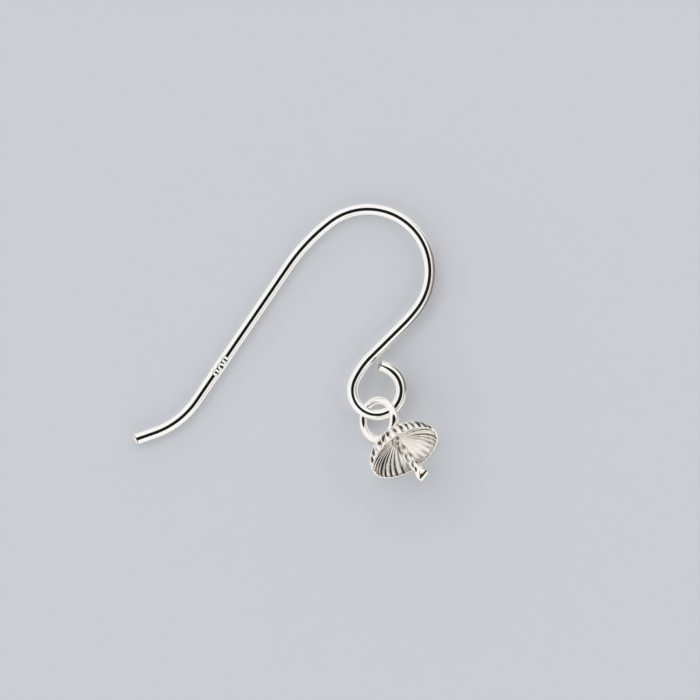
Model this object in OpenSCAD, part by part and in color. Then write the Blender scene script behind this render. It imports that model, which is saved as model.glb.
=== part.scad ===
/* [Ear wire] */
// Diameter of the round wire
wire_d = 0.8; // [0.65:0.05:1]
// Straight tail that ends behind the ear
tail_len = 1.7; // [1.2:0.1:4]
// Radius of the bend between tail and shank
tail_bend_r = 6.5; // [4:0.5:10]
// Turn between tail and shank, degrees
tail_turn = 36.5; // [25:0.5:45]
// Straight shank up to the shoulder
shank_len = 12.5; // [10:0.5:18]
// Radius of the easy shoulder bend
shoulder_r = 15; // [10:0.5:20]
// Turn of the shoulder, degrees
shoulder_turn = 18; // [12:1:24]
// Radius of the bow that sits in the ear
bow_r = 4.78; // [4:0.02:6]
// Turn of the bow, degrees
bow_turn = 164; // [158:1:170]
// Radius of the slight bend where the bow runs into the neck
neck_bend_r = 11; // [8:0.5:14]
// Turn of that slight bend, degrees
neck_turn = 9; // [5:1:14]
// Straight neck above the loop
neck_len = 3.5; // [2.5:0.1:6]
// Radius of the counter-bend above the loop
throat_r = 6; // [4:0.5:8]
// Turn of the counter-bend, degrees
throat_turn = 21; // [15:1:28]
// Radius of the open loop, at the middle of the wire
loop_r = 1.88; // [1.7:0.02:2.4]
// Turn of the open loop, degrees
loop_turn = 256; // [240:1:262]
// Radius of the loop's eased end
loop_end_r = 2.6; // [2.2:0.1:3.5]
// Turn of the loop's eased end, degrees
loop_end_turn = 24; // [10:1:28]

/* [Punch marks] */
// Depth of the three plain dimples in the shank
mark_depth = 0.06; // [0.03:0.01:0.1]
// Radius of the round punch that makes them
mark_r = 0.3; // [0.2:0.05:0.4]
// Distance between two dimples
mark_pitch = 0.6; // [0.5:0.05:1]
// Distance of the middle dimple from the lower end of the shank
mark_place = 3.25; // [2:0.05:6]

/* [Ring of the cup] */
// Diameter of the ring's wire
ring_wire_d = 0.54; // [0.4:0.02:0.7]
// Radius of the ring, at the middle of its wire
ring_r = 1.5; // [1.4:0.05:1.7]
// Clear space between the ring and the ear wire
link_clearance = 0.05; // [0.03:0.01:0.1]

/* [Pearl cup] */
// Radius of the cup's rim, at the middle of its flutes
cup_r = 2.84; // [2.3:0.02:3.6]
// Depth of the cup outside, from rim to apex
cup_depth = 1.9; // [1.5:0.05:2.5]
// Thickness of the cup's wall at its rim
cup_wall = 0.2; // [0.15:0.01:0.3]
// Thickness of the cup in its middle, with the solder round the peg
cup_floor = 0.6; // [0.45:0.05:0.7]
// Number of flutes round the cup
flutes = 34; // [24:1:40]
// Height of the flutes at the rim, above and below the middle
flute_height = 0.05; // [0.03:0.01:0.1]

/* [Peg] */
// Side of the twisted square wire
peg_side = 0.62; // [0.4:0.02:0.7]
// Length of the peg past the cup's rim
peg_reach = 2.85; // [2:0.05:4]
// Length of peg in which the wire turns once
peg_pitch = 3.6; // [2:0.1:6]
// Lean of the peg to one side, degrees
peg_lean = 4; // [0:0.5:5]

/* [How the drop lies] */
// How much steeper the ring leans than the wire through it needs
ring_slack = 1.28; // [1.26:0.01:1.34]
// Way up the leaning ring, degrees from the length of the ear wire
ring_way = -4; // [-5:0.5:-3]
// Side of the loop on which the ring hangs, degrees
hang_side = -86.8; // [-90:0.2:-80]
// Distance of the ring's middle outside the loop's wire
hang_offset = 0.37; // [0.25:0.01:0.4]
// How far the loop's wire lies below the ring's middle, as a share of the room between them
hang_drop = 0.07; // [0.04:0.01:0.1]
// Way from the ring to the cup, degrees
seat_way = -45; // [-50:1:-40]
// Side offset of the cup's apex below the plane of the ring
seat_offset = 0.38; // [0.34:0.02:0.44]
// Distance of the cup's apex past the ring's outer edge
seat_past = 0.1; // [0.06:0.02:0.12]
// Way that the cup opens, degrees
cup_way = -57; // [-62:1:-50]

/* [Hidden] */
$fn = 48;

// Direction of the tail, degrees from the long axis
tail_way = 19.2;
// Gap that two stretches leave at their joint, and how far the ball round it stands out
joint_gap = 0.01;
joint_bulge = 0.005;
// Step between the sampled places that find the outline of the whole
sample_step = 2;

// Stretches of the wire from its tail to its open loop, left turns counted as positive
STRETCHES = [
    // name, length of a straight or radius of a bend, turn
    ["tail", tail_len, 0],
    ["tail bend", tail_bend_r, tail_turn],
    ["shank", shank_len, 0],
    ["shoulder", shoulder_r, -shoulder_turn],
    ["bow", bow_r, -bow_turn],
    ["neck bend", neck_bend_r, -neck_turn],
    ["neck", neck_len, 0],
    ["throat", throat_r, throat_turn],
    ["loop", loop_r, loop_turn],
    ["loop end", loop_end_r, loop_end_turn]
];
SIZE = 1;
TURN = 2;
SHANK = 2;
LOOP = 8;

function unit(way) = [cos(way), sin(way)];
function along(size, turn, way) =
    turn == 0 ? size * unit(way) : 2 * size * sin(abs(turn) / 2) * unit(way + turn / 2);
function way_at(i) = i == 0 ? tail_way : way_at(i - 1) + STRETCHES[i - 1][TURN];
function place_at(i) =
    i == 0 ? [0, 0] : place_at(i - 1) + along(STRETCHES[i - 1][SIZE], STRETCHES[i - 1][TURN], way_at(i - 1));

// Sampled places [x, y, way] along all bends, with both ends of each straight
wire_places = [
    for (i = [0 : len(STRETCHES) - 1])
        let (turn = STRETCHES[i][TURN], steps = turn == 0 ? 1 : ceil(abs(turn) / sample_step))
            for (k = [turn == 0 ? 0 : 1 : steps])
                let (part = k / steps, part_turn = turn * part,
                    part_size = turn == 0 ? STRETCHES[i][SIZE] * part : STRETCHES[i][SIZE],
                    spot = place_at(i) + along(part_size, part_turn, way_at(i)))
                    [spot.x, spot.y, way_at(i) + part_turn]
];

// The wire lies on its tail's end and on its shoulder, along the line that leaves all the rest to the right
rest_way = max([for (p = wire_places) if (norm([p.x, p.y]) > tail_len + tail_bend_r) atan2(p.y, p.x)]);
function past_rest_line(spot) = spot.x * sin(rest_way) - spot.y * cos(rest_way);

loop_way = way_at(LOOP);
loop_middle = place_at(LOOP) + loop_r * unit(loop_way + 90);

// The ring leans with its lowest point on the surface and leaves room for the wire above and below
wire_r = wire_d / 2;
ring_wire_r = ring_wire_d / 2;
link_room = wire_r + ring_wire_r + link_clearance;
ring_lean = asin(ring_slack * link_room / ring_r);
ring_middle = loop_middle + (loop_r + hang_offset) * unit(hang_side);
ring_height = ring_wire_r + ring_r * sin(ring_lean);

// The loop rides on the low side of the ring, and the high side of the ring passes over the loop
loop_drop = hang_drop * link_room;
wire_tilt = asin((ring_height - loop_drop - wire_r) / past_rest_line(ring_middle));

// The cup's apex is soldered under the ring's outer edge
seat_reach = ring_r + ring_wire_r + seat_past;
seat_rise = atan(tan(ring_lean) * cos(seat_way - ring_way));
apex_height = ring_height + seat_reach * sin(seat_rise) - seat_offset / cos(ring_lean);
apex = ring_middle + seat_reach * cos(seat_rise) * unit(seat_way);

// The cup leans until its dome, half an ellipsoid below the rim, lies on the surface close to its rim
rim_r = cup_r + flute_height;
lift = apex_height * cup_depth;
lean_cos = (sqrt(lift * lift + rim_r * rim_r * (rim_r * rim_r - apex_height * apex_height)) - lift) / (rim_r * rim_r);
cup_lean = acos(lean_cos);
rim_middle = apex + cup_depth * sin(cup_lean) * unit(cup_way);
rim_height = apex_height + cup_depth * cos(cup_lean);

// Sampled places of the rim and of the peg's cut end, seen from above
function from_cup(spot) =
    rim_middle + (spot.x * cos(cup_lean) + spot.z * sin(cup_lean)) * unit(cup_way) + spot.y * unit(cup_way + 90);
peg_corner = peg_side / sqrt(2);
rim_places = [
    for (t = [0 : sample_step : 360 - sample_step])
        from_cup([rim_r * cos(t), rim_r * sin(t), 0])
];
peg_places = [
    for (t = [0 : sample_step : 360 - sample_step])
        let (r = peg_corner, s = peg_reach * sin(peg_lean))
            from_cup([r * cos(t), r * sin(t) + s, peg_reach * cos(peg_lean)])
];

// Middle of the whole object, seen from above
outline_x = concat(
    [for (p = wire_places) each [p.x - wire_r * abs(sin(p.z)), p.x + wire_r * abs(sin(p.z))]],
    [for (p = concat(rim_places, peg_places)) p.x]);
outline_y = concat(
    [for (p = wire_places) each [p.y - wire_r * abs(cos(p.z)), p.y + wire_r * abs(cos(p.z))]],
    [for (p = concat(rim_places, peg_places)) p.y]);
middle = [(min(outline_x) + max(outline_x)) / 2, (min(outline_y) + max(outline_y)) / 2];

// One stretch from its start along the long axis, a hair short at both ends
module stretch(size, turn) {
    if (turn == 0)
        translate([joint_gap, 0, 0]) rotate([0, 90, 0]) cylinder(h = size - 2 * joint_gap, d = wire_d);
    else {
        gap_turn = joint_gap / size * 180 / PI;
        mirror([0, turn < 0 ? 1 : 0, 0])
            translate([0, size, 0])
                rotate_extrude(angle = abs(turn) - 2 * gap_turn, start = gap_turn - 90)
                    translate([size, 0]) circle(d = wire_d);
    }
}

// The stretches one after the other, each joint closed by a ball that hardly stands out
module bent_wire() {
    for (i = [0 : len(STRETCHES) - 1])
        translate(place_at(i)) {
            rotate(way_at(i)) stretch(STRETCHES[i][SIZE], STRETCHES[i][TURN]);
            if (i > 0)
                sphere(r = wire_r + joint_bulge);
        }
}

module punch_marks() {
    translate(place_at(SHANK))
        rotate(way_at(SHANK))
            for (k = [-1 : 1])
                translate([mark_place + k * mark_pitch, 0, wire_r + mark_r - mark_depth]) sphere(r = mark_r);
}

module ear_wire() {
    color("silver")
        translate([-middle.x, -middle.y, wire_r])
            rotate(rest_way)
                rotate([-wire_tilt, 0, 0])
                    rotate(-rest_way)
                        difference() {
                            bent_wire();
                            punch_marks();
                        }
}

module ring() {
    rotate_extrude() translate([ring_r, 0]) circle(d = ring_wire_d);
}

// Steps along the peg, from apex to rim, and round each flute
peg_steps = 24;
cup_rings = 7;
steps_per_flute = 4;
around = flutes * steps_per_flute;

// Flutes grow with the square of the way from apex to rim
function wall_radius(part, t, inset) =
    let (grow = sin(90 * part)) (cup_r - inset) * grow + flute_height * grow * grow * cos(flutes * t);
function wall_point(part, t, inset, fill) =
    let (r = wall_radius(part, t, inset)) [r * cos(t), r * sin(t), -(cup_depth - fill) * cos(90 * part)];
function wall_rings(inset, fill) = [
    for (k = [1 : cup_rings], j = [0 : around - 1])
        wall_point(k / cup_rings, 360 * j / around, inset, fill)
];

module fluted_shell() {
    outside = wall_rings(0, 0);
    inside = wall_rings(cup_wall, cup_floor);
    shift = len(outside);
    outer_tip = 2 * shift;
    inner_tip = outer_tip + 1;
    function next(j) = (j + 1) % around;
    points = concat(outside, inside, [[0, 0, -cup_depth], [0, 0, cup_floor - cup_depth]]);
    faces = [
        for (j = [0 : around - 1]) each [
            [outer_tip, j, next(j)],
            [inner_tip, shift + next(j), shift + j]
        ],
        for (k = [1 : cup_rings - 1], j = [0 : around - 1])
            let (a = (k - 1) * around + j, b = (k - 1) * around + next(j))
                each [
                    [a, b + around, b],
                    [a, a + around, b + around],
                    [shift + a, shift + b, shift + b + around],
                    [shift + a, shift + b + around, shift + a + around]
                ],
        for (j = [0 : around - 1])
            let (a = (cup_rings - 1) * around + j, b = (cup_rings - 1) * around + next(j))
                each [[a, shift + b, b], [a, shift + a, shift + b]]
    ];
    polyhedron(points = points, faces = faces);
}

module peg() {
    root = cup_depth - cup_floor / 2;
    length = root + peg_reach;
    rotate([-peg_lean, 0, 0])
        translate([0, 0, -root])
            linear_extrude(height = length, twist = -360 * length / peg_pitch, slices = peg_steps, segments = 4)
                square(peg_side, center = true);
}

module pearl_cup() {
    color("silver")
        translate([-middle.x, -middle.y, 0]) {
            translate([ring_middle.x, ring_middle.y, ring_height])
                rotate([0, -ring_lean, ring_way])
                    ring();
            translate([rim_middle.x, rim_middle.y, rim_height])
                rotate([0, cup_lean, cup_way]) {
                    fluted_shell();
                    peg();
                }
        }
}

ear_wire();
pearl_cup();
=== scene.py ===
"""An ear wire and the fluted pearl cup that hangs from its loop, as surfaces worked out with numpy.

Lengths are in millimetres and angles in degrees until a mesh is made, which is in metres.
"""
import math

import bmesh
import bpy
import numpy as np
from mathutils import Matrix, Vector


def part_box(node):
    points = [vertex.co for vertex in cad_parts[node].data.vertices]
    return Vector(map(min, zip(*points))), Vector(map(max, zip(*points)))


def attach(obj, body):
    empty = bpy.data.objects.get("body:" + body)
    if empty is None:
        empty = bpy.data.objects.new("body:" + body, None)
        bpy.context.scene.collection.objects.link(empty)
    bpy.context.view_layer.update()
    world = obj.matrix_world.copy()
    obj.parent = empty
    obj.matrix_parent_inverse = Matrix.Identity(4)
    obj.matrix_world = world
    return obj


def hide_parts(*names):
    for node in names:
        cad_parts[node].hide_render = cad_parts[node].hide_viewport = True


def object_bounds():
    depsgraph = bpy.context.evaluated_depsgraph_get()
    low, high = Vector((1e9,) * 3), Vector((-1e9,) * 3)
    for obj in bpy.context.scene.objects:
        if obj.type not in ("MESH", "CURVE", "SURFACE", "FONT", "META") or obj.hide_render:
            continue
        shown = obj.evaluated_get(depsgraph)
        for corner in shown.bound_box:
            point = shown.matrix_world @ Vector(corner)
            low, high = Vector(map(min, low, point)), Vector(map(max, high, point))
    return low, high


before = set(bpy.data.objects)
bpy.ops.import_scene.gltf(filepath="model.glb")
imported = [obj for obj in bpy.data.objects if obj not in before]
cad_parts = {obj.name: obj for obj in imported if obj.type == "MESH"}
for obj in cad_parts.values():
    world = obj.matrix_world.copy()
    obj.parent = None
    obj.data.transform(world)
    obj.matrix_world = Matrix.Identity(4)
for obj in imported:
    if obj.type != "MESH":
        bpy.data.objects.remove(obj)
cad_box = [list(corner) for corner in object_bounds()]

MM = 0.001

# Sizes of the ear wire: name, length of a straight or radius of a bend, turn to the left
LOOP_R = 1.88
STRETCHES = (
    ("tail", 1.7, 0.0),
    ("tail bend", 6.5, 36.5),
    ("shank", 12.5, 0.0),
    ("shoulder", 15.0, -18.0),
    ("bow", 4.78, -164.0),
    ("neck bend", 11.0, -9.0),
    ("neck", 3.5, 0.0),
    ("throat", 6.0, 21.0),
    ("loop", LOOP_R, 256.0),
    ("loop end", 2.6, 24.0),
)
TAIL_WAY = 19.2
WIRE_R = 0.4
LINE_STEP = 0.02

# Three dimples in the shank: place of the middle one from the shank's start, distance from one to the next,
# radius and depth
MARK_PLACE = 3.25
MARK_PITCH = 0.6
MARK_R = 0.22
MARK_DEPTH = 0.12
# The flat round them: depth, half length, and half the length of wire that has finer points there
FLAT_DEPTH = 0.02
FLAT_SPAN = 0.95
MARK_SPAN = 1.5

# The cut ends: place of the tail's cut, how far along the wire a slant reaches, and the lengths of wire
# next to each cut that have finer points and none
CUT_IN = 0.15
CUT_REACH = 0.35
CUT_SPAN = 0.4
CUT_GAP = 0.03
# Rows of points on a cut face: share of the wire's radius, and how far back along the wire
CUT_ROWS = (
    (0.0, 0.0),
    (0.25, 0.0),
    (0.5, 0.0),
    (0.7, 0.0),
    (0.84, 0.0),
    (0.93, 0.002),
    (0.975, 0.008),
    (0.993, 0.02),
)

# Sizes of the drop
RING_R = 1.5
RING_WIRE_R = 0.27
RING_LUMP = 0.08
CUP_R = 2.84
CUP_DEPTH = 1.9
CUP_WALL = 0.2
CUP_FLOOR = 0.6
FLUTES = 34
FLUTE_HEIGHT = 0.05
FLUTE_POINTS = 14
PEG_SIDE = 0.62
PEG_REACH = 2.8
PEG_PITCH = 3.6
PEG_LEAN = 5.5
SOLDER_HEIGHT = 0.22
SOLDER_REACH = (0.95, 0.5)
# Rows of points over the cup's lip: how far in across the wall, and height over the rim
LIP_ROWS = (
    (0.03, 0.008),
    (0.1, 0.016),
    (0.25, 0.02),
    (0.5, 0.02),
    (0.75, 0.02),
    (0.9, 0.016),
    (0.97, 0.008),
)

# What keeps the uneven pieces inside the solids' box: shares of the wires' radii, and a cut in the cup's
WIRE_FIT = 0.992
RING_FIT = 0.97
CUP_FIT = 0.008

# How the drop lies
LINK_CLEARANCE = 0.05
RING_SLACK = 1.28
RING_WAY = -4.0
HANG_SIDE = -86.8
HANG_OFFSET = 0.37
HANG_DROP = 0.07
SEAT_WAY = -45.0
SEAT_OFFSET = 0.38
SEAT_PAST = 0.1
CUP_WAY = -57.0

# The picture: its middle from the tail's end, its width in pixels, how many of them make a millimetre at the
# height given, and the camera's distance from there
PICTURE_MIDDLE = (16.654, 6.946)
PICTURE_PIXELS = 700
PIXELS_PER_MM = 13
PICTURE_HEIGHT = 0.7
CAMERA_AWAY = 600.0


# Formulas that several pieces share


def soft_step(value, middle, width):
    """0 well below the middle and 1 well above it: 0.5 + 0.5 tanh((value - middle) / width)."""
    return 0.5 + 0.5 * np.tanh((value - middle) / width)


def ramp(value, start, length):
    """0 up to the start, 1 from a length past it, and straight between."""
    return np.clip((value - start) / length, 0, 1)


def hump(value, middle, width, power=2):
    """1 at the middle, falling off to both sides: exp of minus the way off, in widths, to the power."""
    return np.exp(-(np.abs((value - middle) / width) ** power))


def rounded_square(around, power):
    """Radius of a square of half side 1 with round corners: (|cos|^power + |sin|^power)^(-1 / power)."""
    return (np.abs(np.cos(around)) ** power + np.abs(np.sin(around)) ** power) ** (-1 / power)


# Lines and places


def unit(way):
    """Direction in the plane at an angle of way degrees from +X."""
    return np.array([math.cos(math.radians(way)), math.sin(math.radians(way))])


def chord(size, turn, part):
    """Length and half turn of the way across the first part of a stretch: size times part on a straight,
    and 2 size sin(turn part / 2) at half of the turn so far on an arc."""
    if turn == 0:
        return size * part, 0.0 * part
    return 2 * size * np.sin(np.radians(abs(turn) * part / 2)), turn * part / 2


def wire_line(step):
    """Middle line of the ear wire in its own plane, as arrays of places, ways in degrees and run lengths,
    and the start of each stretch by name. Each starts where the one before it ends, and is sampled by its
    chord."""
    here, way, run = np.zeros(2), TAIL_WAY, 0.0
    places, ways, runs, starts = [], [], [], {}
    for name, size, turn in STRETCHES:
        starts[name] = (here, way, run)
        length = size if turn == 0 else size * math.radians(abs(turn))
        part = np.arange(0, 1, step / length)
        across, half = chord(size, turn, part)
        heading = np.radians(way + half)
        places.append(here + across[:, None] * np.stack([np.cos(heading), np.sin(heading)], 1))
        ways.append(way + turn * part)
        runs.append(run + length * part)
        whole, half = chord(size, turn, 1.0)
        here, way, run = here + whole * unit(way + half), way + turn, run + length
    places.append(here[None])
    ways.append(np.array([way]))
    runs.append(np.array([run]))
    return np.concatenate(places), np.concatenate(ways), np.concatenate(runs), starts


line, line_way, line_run, starts = wire_line(LINE_STEP)
line_end = line_run[-1]
marks_run = starts["shank"][2] + MARK_PLACE
loop_start, loop_way, loop_run = starts["loop"]

# The wire rests on its tail's end and its shoulder, the outermost place as seen from that end
PAST_TAIL = 8.2
far = np.hypot(line[:, 0], line[:, 1]) > PAST_TAIL
rest_way = math.degrees(np.arctan2(line[far, 1], line[far, 0]).max())
rest_along = np.array([*unit(rest_way), 0.0])
rest_across = np.array([*unit(rest_way - 90), 0.0])

# The ring leans on the surface, and its height lifts the loop, which tilts the wire
loop_middle = loop_start + LOOP_R * unit(loop_way + 90)
link_room = WIRE_R + RING_WIRE_R + LINK_CLEARANCE
ring_lean = math.degrees(math.asin(RING_SLACK * link_room / RING_R))
ring_middle = loop_middle + (LOOP_R + HANG_OFFSET) * unit(HANG_SIDE)
ring_height = RING_WIRE_R + RING_R * math.sin(math.radians(ring_lean))
loop_lift = ring_height - HANG_DROP * link_room - WIRE_R
wire_tilt = math.asin(loop_lift / (ring_middle @ rest_across[:2]))

# The cup's apex is soldered below the ring's outer edge, and the cup leans until its rim meets the surface
seat_reach = RING_R + RING_WIRE_R + SEAT_PAST
seat_rise = math.atan(math.tan(math.radians(ring_lean)) * math.cos(math.radians(SEAT_WAY - RING_WAY)))
seat_below = SEAT_OFFSET / math.cos(math.radians(ring_lean))
apex_height = ring_height + seat_reach * math.sin(seat_rise) - seat_below
apex = ring_middle + seat_reach * math.cos(seat_rise) * unit(SEAT_WAY)
rim_r = CUP_R + FLUTE_HEIGHT
lift = apex_height * CUP_DEPTH
lean_root = math.sqrt(lift**2 + rim_r**2 * (rim_r**2 - apex_height**2))
cup_lean = math.degrees(math.acos((lean_root - lift) / rim_r**2))
rim_middle = apex + CUP_DEPTH * math.sin(math.radians(cup_lean)) * unit(CUP_WAY)
rim_height = apex_height + CUP_DEPTH * math.cos(math.radians(cup_lean))


def laid_down(flat, height):
    """Points at flat places in the wire's plane and at a height over it, laid down on the tail's end and
    the shoulder: the plane turns by the tilt about the line through both."""
    along = flat @ rest_along[:2]
    across = flat @ rest_across[:2]
    c, s = math.cos(wire_tilt), math.sin(wire_tilt)
    up = np.array([0.0, 0.0, 1.0])
    return (
        along[..., None] * rest_along
        + across[..., None] * (c * rest_across + s * up)
        + height[..., None] * (c * up - s * rest_across)
        + WIRE_R * up
    )


def row_origin():
    """The row's origin, from the tail's end, which puts the line's own box on the CAD ear wire's box."""
    low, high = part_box("ear_wire")
    turn = np.radians(line_way)
    reach = WIRE_R * np.stack([np.abs(np.sin(turn)), np.abs(np.cos(turn))], 1)
    laid = laid_down(line, 0 * line_way)[:, :2]
    own = ((laid - reach).min(0) + (laid + reach).max(0)) / 2
    return np.array([*(own - np.array([low.x + high.x, low.y + high.y]) / 2 / MM), 0.0])


origin = row_origin()


def leaned(middle, height, lean, way):
    """Axes, as rows X, Y and Z, and place of a thing that leans by lean degrees towards way."""
    s, c = math.sin(math.radians(lean)), math.cos(math.radians(lean))
    u = unit(way)
    axes = np.array([[c * u[0], c * u[1], -s], [-u[1], u[0], 0.0], [s * u[0], s * u[1], c]])
    return axes, np.array([*middle, height]) - origin


ring_axes, ring_place = leaned(ring_middle, ring_height, -ring_lean, RING_WAY)
cup_axes, cup_place = leaned(rim_middle, rim_height, cup_lean, CUP_WAY)


# Meshes


def grid_faces(rows, columns):
    """Quads of a grid whose last column meets its first, as an array of four vertex numbers each."""
    a = np.arange(rows - 1)[:, None] * columns + np.arange(columns)[None]
    b = np.arange(rows - 1)[:, None] * columns + (np.arange(columns)[None] + 1) % columns
    return np.stack([a, b, b + columns, a + columns], -1).reshape(-1, 4)


def make_piece(name, points, material, slot, close_rows=False, **values):
    """A mesh from a grid of points in millimetres, closed round its columns, with its poles merged. Each of
    the values is a number for every point, kept under its own name for the material."""
    rows, columns = points.shape[:2]
    if close_rows:
        points = np.concatenate([points, points[:1]])
        rows += 1
    mesh = bpy.data.meshes.new(name)
    mesh.from_pydata((points.reshape(-1, 3) * MM).tolist(), [], grid_faces(rows, columns).tolist())
    for key, value in values.items():
        layer = mesh.attributes.new(key, "FLOAT", "POINT")
        layer.data.foreach_set("value", np.ascontiguousarray(value, dtype=np.float32).ravel())
    work = bmesh.new()
    work.from_mesh(mesh)
    bmesh.ops.remove_doubles(work, verts=work.verts, dist=1e-7)
    bmesh.ops.recalc_face_normals(work, faces=work.faces)
    work.to_mesh(mesh)
    work.free()
    mesh.shade_smooth()
    piece = bpy.data.objects.new(name, mesh)
    bpy.context.scene.collection.objects.link(piece)
    mesh.materials.append(material)
    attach(piece, "root")
    return piece


# Materials

# Noise of the haze, the darkening and the grain: about how many spots make a millimetre, and their detail
HAZE_NOISE = (1.3, 4.0)
DARKENING_NOISE = (5.5, 5.0)
GRAIN_NOISE = (14.0, 3.0)


def feed(tree, socket, value):
    """Gives a socket its value: a link from another socket, or else a plain number or colour."""
    if isinstance(value, bpy.types.NodeSocket):
        tree.links.new(value, socket)
    else:
        socket.default_value = value


def node_of(tree, kind, place, inputs=(), **settings):
    """A node at a place in the tree, with its settings, and values for its inputs by name or number."""
    node = tree.nodes.new(kind)
    node.location = place
    for key, value in settings.items():
        setattr(node, key, value)
    for key, value in dict(inputs).items():
        feed(tree, node.inputs[key], value)
    return node


def noise(tree, place, at, scale, detail):
    """Noise at the places, of about so many spots to the unit that they are in."""
    inputs = {"Vector": at, "Scale": scale, "Detail": detail}
    return node_of(tree, "ShaderNodeTexNoise", place, inputs).outputs["Fac"]


def span(tree, place, value, start, end, low=0.0, high=1.0, **settings):
    """A value from start to end turned into one from low to high, and held there beyond them."""
    inputs = {"Value": value, "From Min": start, "From Max": end, "To Min": low, "To Max": high}
    return node_of(tree, "ShaderNodeMapRange", place, inputs, **settings).outputs[0]


def worked(tree, place, operation, *terms, **settings):
    """What a Math node makes of its terms."""
    inputs = enumerate(terms)
    return node_of(tree, "ShaderNodeMath", place, inputs, operation=operation, **settings).outputs[0]


def mixed(tree, place, part, first, second, **settings):
    """Two colours mixed, with the second's part from 0 to 1."""
    inputs = {"Factor": part, 6: first, 7: second}
    return node_of(tree, "ShaderNodeMix", place, inputs, data_type="RGBA", **settings).outputs[2]


def silver_group():
    """Colour, roughness and height of silver: a fine grain, soft patches of haze, and darkening, first
    yellow and then black, where the value of patina and painted shade is high. That value holds real patina
    in the cup's grooves as well as painted shade, shadows and dark reflections."""
    group = bpy.data.node_groups.new("worn silver", "ShaderNodeTree")
    for name, kind, value in (
        ("Fresh", "NodeSocketColor", (0.97, 0.95, 0.92, 1)),
        # Colours of the darkening, used alike for patina and for painted shade
        ("Yellow_tone", "NodeSocketColor", (0.56, 0.51, 0.43, 1)),
        ("Black_tone", "NodeSocketColor", (0.045, 0.045, 0.05, 1)),
        ("Recess", "NodeSocketFloat", 0.0),
        ("Satin", "NodeSocketFloat", 0.0),
        ("Tarnish", "NodeSocketFloat", 0.3),
        ("Polish", "NodeSocketFloat", 0.06),
        ("Haze", "NodeSocketFloat", 0.08),
    ):
        socket = group.interface.new_socket(name=name, in_out="INPUT", socket_type=kind)
        socket.default_value = value
    for name in ("Color", "Roughness", "Height"):
        kind = "NodeSocketColor" if name == "Color" else "NodeSocketFloat"
        group.interface.new_socket(name=name, in_out="OUTPUT", socket_type=kind)
    given = node_of(group, "NodeGroupInput", (-1200, 0)).outputs
    place = node_of(group, "ShaderNodeTexCoord", (-1200, 300)).outputs["Object"]
    scaled = {0: place, "Scale": 1 / MM}
    in_mm = node_of(group, "ShaderNodeVectorMath", (-1000, 300), scaled, operation="SCALE").outputs[0]

    haze = span(group, (-560, 300), noise(group, (-800, 300), in_mm, *HAZE_NOISE), 0.42, 0.72)
    haze = worked(group, (-360, 300), "MULTIPLY", haze, given["Haze"])
    polish = worked(group, (-360, 480), "ADD", given["Polish"], given["Satin"])
    rough = worked(group, (-160, 300), "ADD", haze, polish)

    # Darkening: the value of patina and painted shade, broken up by spots, turns the colour yellow and then
    # black
    spots = noise(group, (-800, 60), in_mm, *DARKENING_NOISE)
    spots = span(group, (-560, 60), spots, 0.35, 0.65, 0.55, 1.2)
    darkening = worked(group, (-360, 60), "MULTIPLY", spots, given["Recess"])
    darkening = worked(group, (-160, 60), "MULTIPLY", darkening, given["Tarnish"], use_clamp=True)
    yellow_part = span(group, (60, 60), darkening, 0.0, 0.45)
    colour = mixed(group, (240, 60), yellow_part, given["Fresh"], given["Yellow_tone"])
    black_part = span(group, (60, -200), darkening, 0.35, 0.95)
    colour = mixed(group, (420, 60), black_part, colour, given["Black_tone"])
    rough = worked(group, (60, 300), "MULTIPLY_ADD", darkening, 0.25, rough)

    grain = noise(group, (-800, -200), in_mm, *GRAIN_NOISE)
    node_of(group, "NodeGroupOutput", (700, 0), {"Color": colour, "Roughness": rough, "Height": grain})
    return group


worn_and_shaded_silver = silver_group()


def silver(name, bump, **values):
    """Polished silver from the silver group of haze, patina and painted shade, with its own values and a
    bump of so many metres.
    """
    material = bpy.data.materials.new(name)
    material.use_nodes = True
    tree = material.node_tree
    for row, mask in enumerate(("recess", "satin")):
        kept = node_of(tree, "ShaderNodeAttribute", (-750, -250 * row), attribute_name=mask)
        values[mask.capitalize()] = kept.outputs["Fac"]
    worn_and_shaded = node_of(tree, "ShaderNodeGroup", (-500, 0), node_tree=worn_and_shaded_silver)
    for key, value in values.items():
        feed(tree, worn_and_shaded.inputs[key], value)
    heights = {"Height": worn_and_shaded.outputs["Height"], "Distance": bump}
    relief = node_of(tree, "ShaderNodeBump", (-250, -200), heights)
    shader = tree.nodes["Principled BSDF"].inputs
    shader["Metallic"].default_value = 1.0
    feed(tree, shader["Base Color"], worn_and_shaded.outputs["Color"])
    feed(tree, shader["Roughness"], worn_and_shaded.outputs["Roughness"])
    feed(tree, shader["Normal"], relief.outputs["Normal"])
    return material


hook_tint = (0.98, 0.965, 0.94, 1)
ring_tint = (0.98, 0.955, 0.91, 1)
cup_tint = (0.99, 0.965, 0.92, 1)
peg_tint = (0.98, 0.955, 0.905, 1)
hook_finish = silver("hook silver", 1.5e-6, Fresh=hook_tint, Polish=0.07, Haze=0.05, Tarnish=0.45)
ring_finish = silver("ring silver", 4e-6, Fresh=ring_tint, Polish=0.09, Haze=0.12)
cup_finish = silver("cup silver", 2.5e-6, Fresh=cup_tint, Polish=0.06, Haze=0.06, Tarnish=1.0)
peg_finish = silver("peg silver", 1.5e-6, Fresh=peg_tint, Polish=0.08, Haze=0.08, Tarnish=1.0)


# The ear wire


def hook_rows():
    """Which samples of the line get a ring of points: all of them near the dimples and the ends, each
    fourth one elsewhere, and none just behind a cut or on the bit that the tail's cut takes off."""
    near_marks = np.abs(line_run - marks_run) < MARK_SPAN
    near_ends = (line_run < CUT_IN + CUT_SPAN) | (line_run > line_end - CUT_SPAN)
    fourth = np.arange(len(line)) % 4 == 0
    between = (line_run > CUT_IN + CUT_GAP) & (line_run < line_end - CUT_GAP)
    kept = (near_marks | near_ends | fourth) & between
    kept[np.argmin(np.abs(line_run - CUT_IN))] = True
    kept[-1] = True
    return kept


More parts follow.
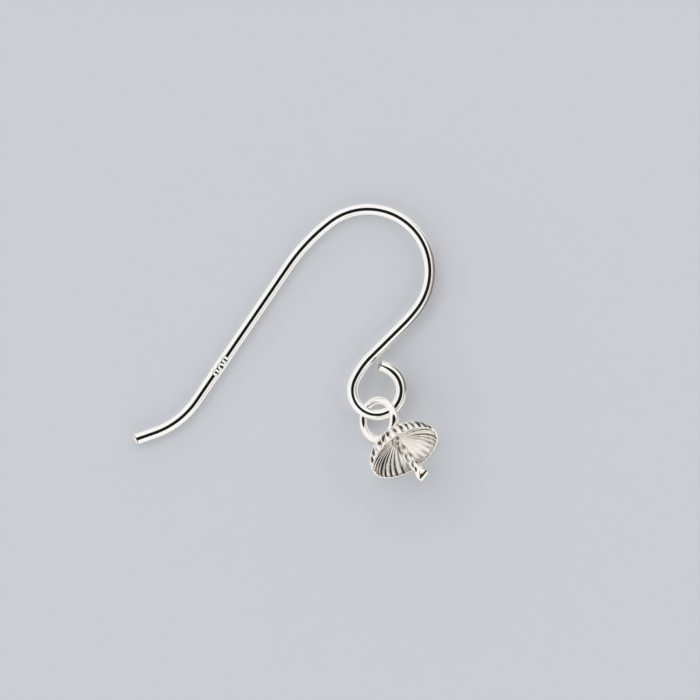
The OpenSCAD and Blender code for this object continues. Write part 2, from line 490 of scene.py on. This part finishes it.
def dimple_fields(run, across):
    """The three dimples over the top of the wire, as their depth, a bowl of 1 - 0.8 away^2 that ends at a
    sharp edge, and as their outline, which is 1 at that edge."""
    depth = outline = 0.0
    for k in (-1, 0, 1):
        spot = marks_run + k * MARK_PITCH
        side = 0.04 * k * k - 0.08
        away = np.hypot((run - spot) / 1.1, across - side) / MARK_R
        depth = depth + (1 - 0.8 * np.clip(away, 0, 1) ** 2) * hump(away, 0, 1, 10)
        outline = outline + hump(away, 1, 0.12)
    return depth, outline


def hook_points():
    """Round wire carried along its line: side times r cos(t) plus up times r sin(t). The top is pressed a
    little flat round three dimples, and each end is a slanted cut with a thin rounded edge."""
    kept = hook_rows()
    flat, way, run = line[kept], np.radians(line_way[kept]), line_run[kept]
    side = np.stack([-np.sin(way), np.cos(way)], 1)
    ahead = np.stack([np.cos(way), np.sin(way)], 1)
    cap, back = np.array(CUT_ROWS).T
    start, end = np.full(len(cap), 0), np.full(len(cap), len(run) - 1)
    picked = np.concatenate([start, np.arange(1, len(run) - 1), end])
    flat, side, ahead, run = flat[picked], side[picked], ahead[picked], run[picked]
    body = np.ones(len(run) - 2 * len(cap))
    share = np.concatenate([cap, body, cap[::-1]])
    shift = np.concatenate([back, 0 * body, -back[::-1]])

    uneven = WIRE_FIT + 0.003 * np.sin(run * 0.9 + 0.6) + 0.002 * np.sin(run * 2.3)
    taper = 1 - 0.07 * hump(run, line_end, CUT_REACH)
    r = (WIRE_R * uneven * taper * share)[:, None]
    s = run[:, None]
    around = np.linspace(0, 2 * np.pi, 80, endpoint=False)[None]
    x = r * np.cos(around)
    h = r * np.sin(around)
    upper = np.clip(np.sin(around), 0, 1)
    top = upper**2
    pressed = hump(s, marks_run, FLAT_SPAN, 4)
    depth, outline = dimple_fields(s, x)
    h = h - (FLAT_DEPTH * pressed + MARK_DEPTH * depth) * top

    # A low ridge along the top, left by the bending: faint round the loop, clearer at its end
    faint = 0.01 * hump(s, loop_run + 2.6, 2.2, 4)
    clear = 0.03 * ramp(s, line_end - 1.2, 1)
    h = h - (faint + clear) * (1 - hump(x, 0, 0.12)) * upper
    x = x * (1 + 0.045 * pressed)

    # Slanted cuts: the tail's leans up and to the left, the loop end's is nearly square
    tail_cut = (0.20 * h - 0.16 * x) * hump(s, CUT_IN, CUT_REACH)
    loop_cut = (0.12 * x - 0.3 * h) * hump(s, line_end, CUT_REACH)
    moved = shift[:, None] + tail_cut + loop_cut
    spot = flat[:, None] + x[..., None] * side[:, None] + moved[..., None] * ahead[:, None]

    # Darkening: a thin dark line round the dimples, a painted dark reflection along the tail's cut,
    # and painted shade over the whole cut of the loop's end
    recess = 0.4 * outline * top
    # Painted dark reflection along the edge of the tail's cut
    recess[(share > 0.95) & (run < CUT_IN + 0.05)] += 1.5
    # Painted shade over the whole cut face of the loop's end
    recess[run > line_end - 0.02] += 2.2
    return laid_down(spot, h) - origin, recess, 0.14 * depth * top


hook_spots, hook_recess, hook_satin = hook_points()
hook = make_piece("hook", hook_spots, hook_finish, "hook_silver", recess=hook_recess, satin=hook_satin)
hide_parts("ear_wire")


# The ring, cup and peg


def ring_points():
    """Wire of the ring, a circle pressed a little square, carried round the ring, with the solder lump
    where its ends meet, near the cup."""
    turn = np.linspace(-np.pi, np.pi, 240, endpoint=False)[:, None]
    around = np.linspace(0, 2 * np.pi, 64, endpoint=False)[None]
    square = rounded_square(around - np.pi / 4, 2.5)
    uneven = 1 + 0.012 * np.sin(2 * turn + 1) + 0.01 * np.sin(5 * turn)
    r = RING_FIT * RING_WIRE_R * square * uneven + RING_LUMP * hump(turn, -0.1, 0.5, 4)
    out = RING_R + r * np.cos(around)
    spot = np.stack([out * np.cos(turn), out * np.sin(turn), r * np.sin(around)], -1)
    return spot @ ring_axes + ring_place


def cup_sides(t):
    """Degrees round the cup from the way that it opens, negative towards the picture's left, and two masks:
    1 on the right side, and 1 beside the peg where it stands out over the rim."""
    side = np.degrees(np.angle(np.exp(1j * t)))
    return side, soft_step(side, 52, 10), hump(side, 2, 46, 4)


def cup_points():
    """Fluted dome out and in: the radius is CUP_R sin(q) plus the flutes, which grow with sin(q) squared
    outside and a little sooner inside, and the depth is CUP_DEPTH cos(q), with q from the apex to the rim,
    a rounded lip, and back inside the wall."""
    t = np.linspace(0, 2 * np.pi, FLUTE_POINTS * FLUTES, endpoint=False)[None]
    to_rim = np.concatenate([np.linspace(0, 0.35, 10), np.linspace(0.38, 0.985, 34), [0.993, 0.998, 1]])
    q = np.radians(90 * to_rim)
    lip, lip_rise = np.array(LIP_ROWS).T
    inside = np.concatenate([0 * q, lip, 1 + 0 * q])[:, None]
    rise = np.concatenate([0 * q, lip_rise, 0 * q])[:, None]
    way = np.concatenate([q, np.full(len(lip), np.pi / 2), q[::-1]])[:, None]

    turned = t + 0.018 * np.sin(5 * t + 0.4) + 0.012 * np.sin(11 * t + 1.7)
    wave = np.cos(FLUTES * turned)
    fine = np.cos(2 * FLUTES * turned + 1.1)
    crest = wave + 0.22 * fine * (1 - 0.2 * inside)
    uneven = 0.8 + 0.12 * np.sin(3 * t + 1.0) + 0.1 * np.sin(7 * t + 2.0)
    grow = np.sin(way)
    height = FLUTE_HEIGHT * grow ** (2 - 0.8 * inside) * crest * uneven

    # Inside, the flutes are deeper than outside, but shallower beside the peg, and alike towards the lip
    _, on_right, beside = cup_sides(t)
    deeper = (0.9 - 0.5 * on_right) * ramp(1.5 - way, 0, 0.3) - 1.4 * beside * ramp(1.56 - way, 0, 0.1)
    height = height * (1 + inside * deeper)
    inset = inside * CUP_WALL * (1 - 0.5 * grow**12)
    radius = (CUP_R - inset) * grow + height - CUP_FIT
    z = -(CUP_DEPTH - inside * CUP_FLOOR) * np.cos(way) + rise
    spot = np.stack([radius * np.cos(t), radius * np.sin(t), z + 0 * t], -1)
    return spot @ cup_axes + cup_place, *cup_darkening(t, way, inside, wave)


def cup_darkening(t, way, inside, wave):
    """How dark and how matt each point of the cup is. Inside, each groove is dark in its own measure, partly
    patina and partly painted dark reflection, the left ones most; the bowl is darker towards the bottom,
    with painted shade under the far rim. Outside, a soft-edged painted dark reflection lies in each groove
    behind the rim, over a light patina all the way down. The inner wall that is hidden from above stays
    nearly clean."""
    side, on_right, beside = cup_sides(t)
    degrees = np.degrees(way)
    groove = np.clip(0.5 + 0.5 * np.where(inside > 0.5, wave, -wave), 0, 1)
    varied = np.clip(0.8 + 0.45 * np.sin(11 * t + 1) + 0.38 * np.sin(19 * t + 2.2), 0.15, 1.4)
    from_back = 180 - np.abs(side)
    shown = soft_step(from_back, 38, 8)
    far_left = 1 - soft_step(side, -40, 14)
    near_left = (1 - soft_step(side, -8, 14)) * (1 - far_left)
    far_left = far_left * shown

    # Grooves inside: partly patina and partly painted dark reflection, much darker on the left, where the
    # flutes mirror dark
    strength = 0.12 + 0.8 * near_left + 1.9 * far_left + 0.75 * on_right * shown
    sharp = 1.5 + 2 * near_left - 0.6 * far_left * np.clip((70 - degrees) / 20, -2.5, 1)
    mottle = np.sin(degrees / 7 + 4 * np.sin(7 * t + 1) + 2 * np.sin(17 * t))
    strength = strength * varied * (1 + far_left * (0.1 + 0.4 * mottle))
    strength = strength * ramp(degrees, 10, 22) * (1 - 0.45 * far_left * ramp(degrees, 80, 7))
    inner = groove**sharp * strength
    bottom = (0.17 * shown + 0.2 * far_left - 0.12 * beside) * np.cos(way)
    inner = inner + bottom * (1 - 0.9 * far_left * (1 - groove))
    # Painted shade in dashes under the far rim's overhang
    inner = inner + (0.6 + 0.3 * np.sin(13 * t)) * hump(side, 118, 34, 4) * ramp(degrees, 76, 10)
    inner = inner + 0.5 * beside * groove**4 * ramp(degrees, 62, 14) * np.clip(varied, 0.3, 1)

    middle = 69 + 13 * (from_back / 55) ** 2 + 3 * np.sin(9 * t + 0.5) + 3 * np.sin(23 * t + 2)
    length = 9 + 2 * np.sin(13 * t + 1) + 2 * np.sin(29 * t)
    # Painted dark reflection: a soft-edged dark mark in each groove outside, behind the rim
    painted_reflection = groove ** (0.5 + 2 * ramp(side, 80, 40)) * hump(degrees, middle, length, 2.5)
    outer = np.clip(1.7 * varied, 0, 1.5) * ramp(painted_reflection, 0.05, 0.65)
    outer = np.maximum(outer, 0.4 * groove**1.5 * ramp(degrees, 12, 20))

    recess = np.where(inside > 0.5, inner, outer) * ((inside == 0) | (inside == 1))
    satin = inside * (0.03 + 0.17 * (1 - far_left) + 0.1 * beside) + 0 * way
    return recess, satin


def peg_points():
    """Rounded square carried along the peg's own axis and turned with it once in a pitch. Its end is
    pinched a little wide and cut flat, with a slope on the upper edge. Painted shadows lie in spots along
    its sides, but not near its root or its end, and a painted dark reflection lies on the slope."""
    around = np.linspace(0, 2 * np.pi, 80, endpoint=False)[None]
    end = PEG_REACH
    root = CUP_FLOOR / 2 - CUP_DEPTH
    rows, end_rows = 140, 12
    z = [np.linspace(root, end - 0.03, rows), [end - 0.015, end - 0.005], np.full(end_rows, end)]
    z = np.concatenate(z)[:, None]
    share = np.concatenate([np.ones(rows), [0.99, 0.97], np.linspace(0.94, 0, end_rows)])[:, None]
    square = rounded_square(around, 7)
    r = PEG_SIDE / 2 * square * share
    turned = around + np.radians(360 * (z - end) / PEG_PITCH)
    pinched = 0.3 * hump(z, end, 0.75, 4)
    x = r * np.cos(turned) * (1 - pinched)
    y = r * np.sin(turned) * (1 + pinched)
    slope_start = end - 0.25
    slope = 1.8 * np.clip(-x - 0.14, 0, 1) * (z > slope_start)
    slant = -0.27 * (y + 0.33) * ramp(z, end - 0.7, 0.7)
    spot = np.stack([x, y, z - slope * (z - slope_start) / (end - slope_start) + slant], -1)
    s, c = math.sin(math.radians(PEG_LEAN)), math.cos(math.radians(PEG_LEAN))
    spot = spot @ np.array([[1, 0, 0], [0, c, -s], [0, s, c]])

    flank = 1 - ramp(square, 1, 0.06)
    marked = (z > -1.3) & (z < end - 0.8)
    # Painted shadows in spots along the twisted sides
    recess = 1.5 * flank**2 * np.clip(4 * np.sin(2 * turned) ** 2 - 2.8, 0, 1) * marked
    # Painted dark reflection on the slope at the end
    recess = recess + 0.8 * (slope > 0.01) * (z > end - 0.1)
    satin = 0.04 * np.clip(0.6 - z, 0, 1) + 0 * around
    return spot @ cup_axes + cup_place, recess, satin


def solder_points():
    """Low mound of solder on the dome round the ring's foot, long along the ring's wire: its height is
    SOLDER_HEIGHT (1 - out)^1.4, with out from 0 in its middle to 1 at its edge."""
    foot = (np.array([0.0, 0.0, -CUP_DEPTH]) @ cup_axes + cup_place - ring_place) @ ring_axes.T
    turn = math.atan2(foot[1], foot[0])
    at = (np.array([math.cos(turn), math.sin(turn), 0]) * RING_R) @ ring_axes + ring_place
    along = np.array([-math.sin(turn), math.cos(turn), 0]) @ ring_axes
    local = (at - cup_place) @ cup_axes.T
    tangent = along @ cup_axes.T
    heading = math.atan2(tangent[1], tangent[0])
    out = np.array([1.0, 0.88, 0.75, 0.6, 0.4, 0.2, 0.0])[:, None]
    t = np.linspace(0, 2 * np.pi, 48, endpoint=False)[None]
    u, v = SOLDER_REACH[0] * out * np.cos(t), SOLDER_REACH[1] * out * np.sin(t)
    x = local[0] + u * math.cos(heading) - v * math.sin(heading)
    y = local[1] + u * math.sin(heading) + v * math.cos(heading)
    dome = -CUP_DEPTH * np.sqrt(1 - (x**2 + y**2) / CUP_R**2)
    top = dome - SOLDER_HEIGHT * (1 - out) ** 1.4 + 0.02 * (out == 1)
    spot = np.stack([x, y, top], -1)
    under = np.stack([x[::-1], y[::-1], dome[::-1] + 0.05], -1)
    return np.concatenate([under, spot]) @ cup_axes + cup_place


ring = make_piece("ring", ring_points(), ring_finish, "cup_silver", close_rows=True)
cup_spots, cup_recess, cup_satin = cup_points()
cup = make_piece("cup", cup_spots, cup_finish, "cup_silver", recess=cup_recess, satin=cup_satin)
peg_spots, peg_recess, peg_satin = peg_points()
peg = make_piece("peg", peg_spots, peg_finish, "cup_silver", recess=peg_recess, satin=peg_satin)
solder = make_piece("solder", solder_points(), ring_finish, "cup_silver")
for piece in (ring, cup, peg, solder):
    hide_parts("pearl_cup")


# Floor, light and camera

FLOOR_HALF = 500
FLOOR_GREY = (0.76, 0.79, 0.84, 1)
# How mirrored rays see the floor, and the zone at the right where it is dim to them: where its left edge and
# its lower edge start and end, and how far the left edge leans over for each millimetre up
BRIGHT_GLOW = (0.95, 0.94, 0.92, 1)
DIM_GLOW = (0.2, 0.18, 0.17, 1)
DIM_LEFT = (8.6, 10.0)
DIM_LOWER = (-5.5, -3.0)
DIM_LEAN = 0.31
# The surround, its warm side, the way to that side, and how near to that way its edge starts and ends
SURROUND = (0.97, 0.97, 0.97, 1)
WARM_SIDE = (0.42, 0.39, 0.35, 1)
WARM_WAY = (0.99, -0.1, 0.0)
WARM_SPAN = (0.7, 0.97)
# The dark patch overhead: its brightness, and the angles off straight up where its edge starts and ends
OVERHEAD = 0.012
OVERHEAD_EDGE = (32, 39)
# The soft sun: its power, and the degrees that it spreads over and is turned by
SUN_POWER = 0.55
SUN_SPREAD = 50
SUN_TURN = (-20, -15, 0)


def pale_floor():
    """A wide flat pale grey floor just under the object. Mirrored rays see it glow brightly instead, and
    dimly in a zone at the right, beside the bow and the loop, where the wire's outer side is darker."""
    half = FLOOR_HALF * MM
    mesh = bpy.data.meshes.new("floor")
    corners = [(-half, -half, 0), (half, -half, 0), (half, half, 0), (-half, half, 0)]
    mesh.from_pydata(corners, [], [(0, 1, 2, 3)])
    floor = bpy.data.objects.new("floor", mesh)
    bpy.context.scene.collection.objects.link(floor)
    material = bpy.data.materials.new("pale floor")
    material.use_nodes = True
    tree = material.node_tree
    shader = tree.nodes["Principled BSDF"]
    shader.inputs["Roughness"].default_value = 0.9
    shader.inputs["Specular IOR Level"].default_value = 0.1
    shader.inputs["Base Color"].default_value = FLOOR_GREY

    soft = {"interpolation_type": "SMOOTHSTEP"}
    place = node_of(tree, "ShaderNodeTexCoord", (-900, -300)).outputs["Object"]
    across = {0: place, 1: (1 / MM, -DIM_LEAN / MM, 0.0)}
    right = node_of(tree, "ShaderNodeVectorMath", (-700, -300), across, operation="DOT_PRODUCT")
    right_part = span(tree, (-500, -300), right.outputs["Value"], *DIM_LEFT, **soft)
    y = node_of(tree, "ShaderNodeSeparateXYZ", (-700, -550), {0: place}).outputs["Y"]
    upper_part = span(tree, (-500, -550), y, DIM_LOWER[0] * MM, DIM_LOWER[1] * MM, **soft)
    dim_part = worked(tree, (-300, -500), "MULTIPLY", right_part, upper_part)
    glow_colour = mixed(tree, (-300, -300), dim_part, BRIGHT_GLOW, DIM_GLOW)
    glow = node_of(tree, "ShaderNodeEmission", (0, -300), {"Color": glow_colour})
    ray = node_of(tree, "ShaderNodeLightPath", (0, 300))
    parts = {"Fac": ray.outputs["Is Glossy Ray"], 1: shader.outputs[0], 2: glow.outputs[0]}
    both = node_of(tree, "ShaderNodeMixShader", (300, 0), parts)
    feed(tree, tree.nodes["Material Output"].inputs["Surface"], both.outputs[0])
    mesh.materials.append(material)
    floor.location.z = min(corner[2] for corner in cad_box) - 0.002 * MM


def studio_light():
    """Soft light from all round as a world: dark overhead, bright from there down to the horizon, and a
    little lower and warmer towards the right."""
    world = bpy.data.worlds.new("studio")
    world.use_nodes = True
    bpy.context.scene.world = world
    tree = world.node_tree
    soft = {"interpolation_type": "SMOOTHSTEP"}
    look = node_of(tree, "ShaderNodeTexCoord", (-1400, 0)).outputs["Generated"]
    up = node_of(tree, "ShaderNodeSeparateXYZ", (-1200, 0), {0: look}).outputs["Z"]
    dark_up, bright_up = (math.cos(math.radians(off_axis)) for off_axis in OVERHEAD_EDGE)
    overhead = span(tree, (-900, 200), up, bright_up, dark_up, 1.0, OVERHEAD, **soft)
    towards = {0: look, 1: WARM_WAY}
    right = node_of(tree, "ShaderNodeVectorMath", (-1200, -250), towards, operation="DOT_PRODUCT")
    warm_part = span(tree, (-900, -250), right.outputs["Value"], *WARM_SPAN, **soft)
    tint = mixed(tree, (-600, -250), warm_part, SURROUND, WARM_SIDE)
    shaded = mixed(tree, (-300, 0), 1.0, tint, overhead, blend_type="MULTIPLY")
    background = tree.nodes["Background"].inputs
    feed(tree, background["Color"], shaded)
    background["Strength"].default_value = 1.0


def soft_sun():
    """A wide soft sun that gives the floor its even pale tone and faint shadows, and isn't mirrored."""
    data = bpy.data.lights.new("soft sun", "SUN")
    data.energy = SUN_POWER
    data.angle = math.radians(SUN_SPREAD)
    sun = bpy.data.objects.new("soft sun", data)
    bpy.context.scene.collection.objects.link(sun)
    sun.rotation_euler = [math.radians(turn) for turn in SUN_TURN]
    sun.visible_glossy = False


def camera_above():
    """Camera straight over the middle of the picture, far off with a long lens, so that the frame takes in
    the picture's real width."""
    data = bpy.data.cameras.new("camera")
    camera = bpy.data.objects.new("camera", data)
    bpy.context.scene.collection.objects.link(camera)
    data.lens = data.sensor_width * CAMERA_AWAY * PIXELS_PER_MM / PICTURE_PIXELS
    data.clip_start, data.clip_end = 0.05, 2.0
    middle = np.array([*PICTURE_MIDDLE, 0.0]) - origin
    camera.location = (middle[0] * MM, middle[1] * MM, (CAMERA_AWAY + PICTURE_HEIGHT) * MM)
    bpy.context.scene.camera = camera


pale_floor()
studio_light()
soft_sun()
camera_above()
bpy.context.scene.view_settings.view_transform = "Standard"
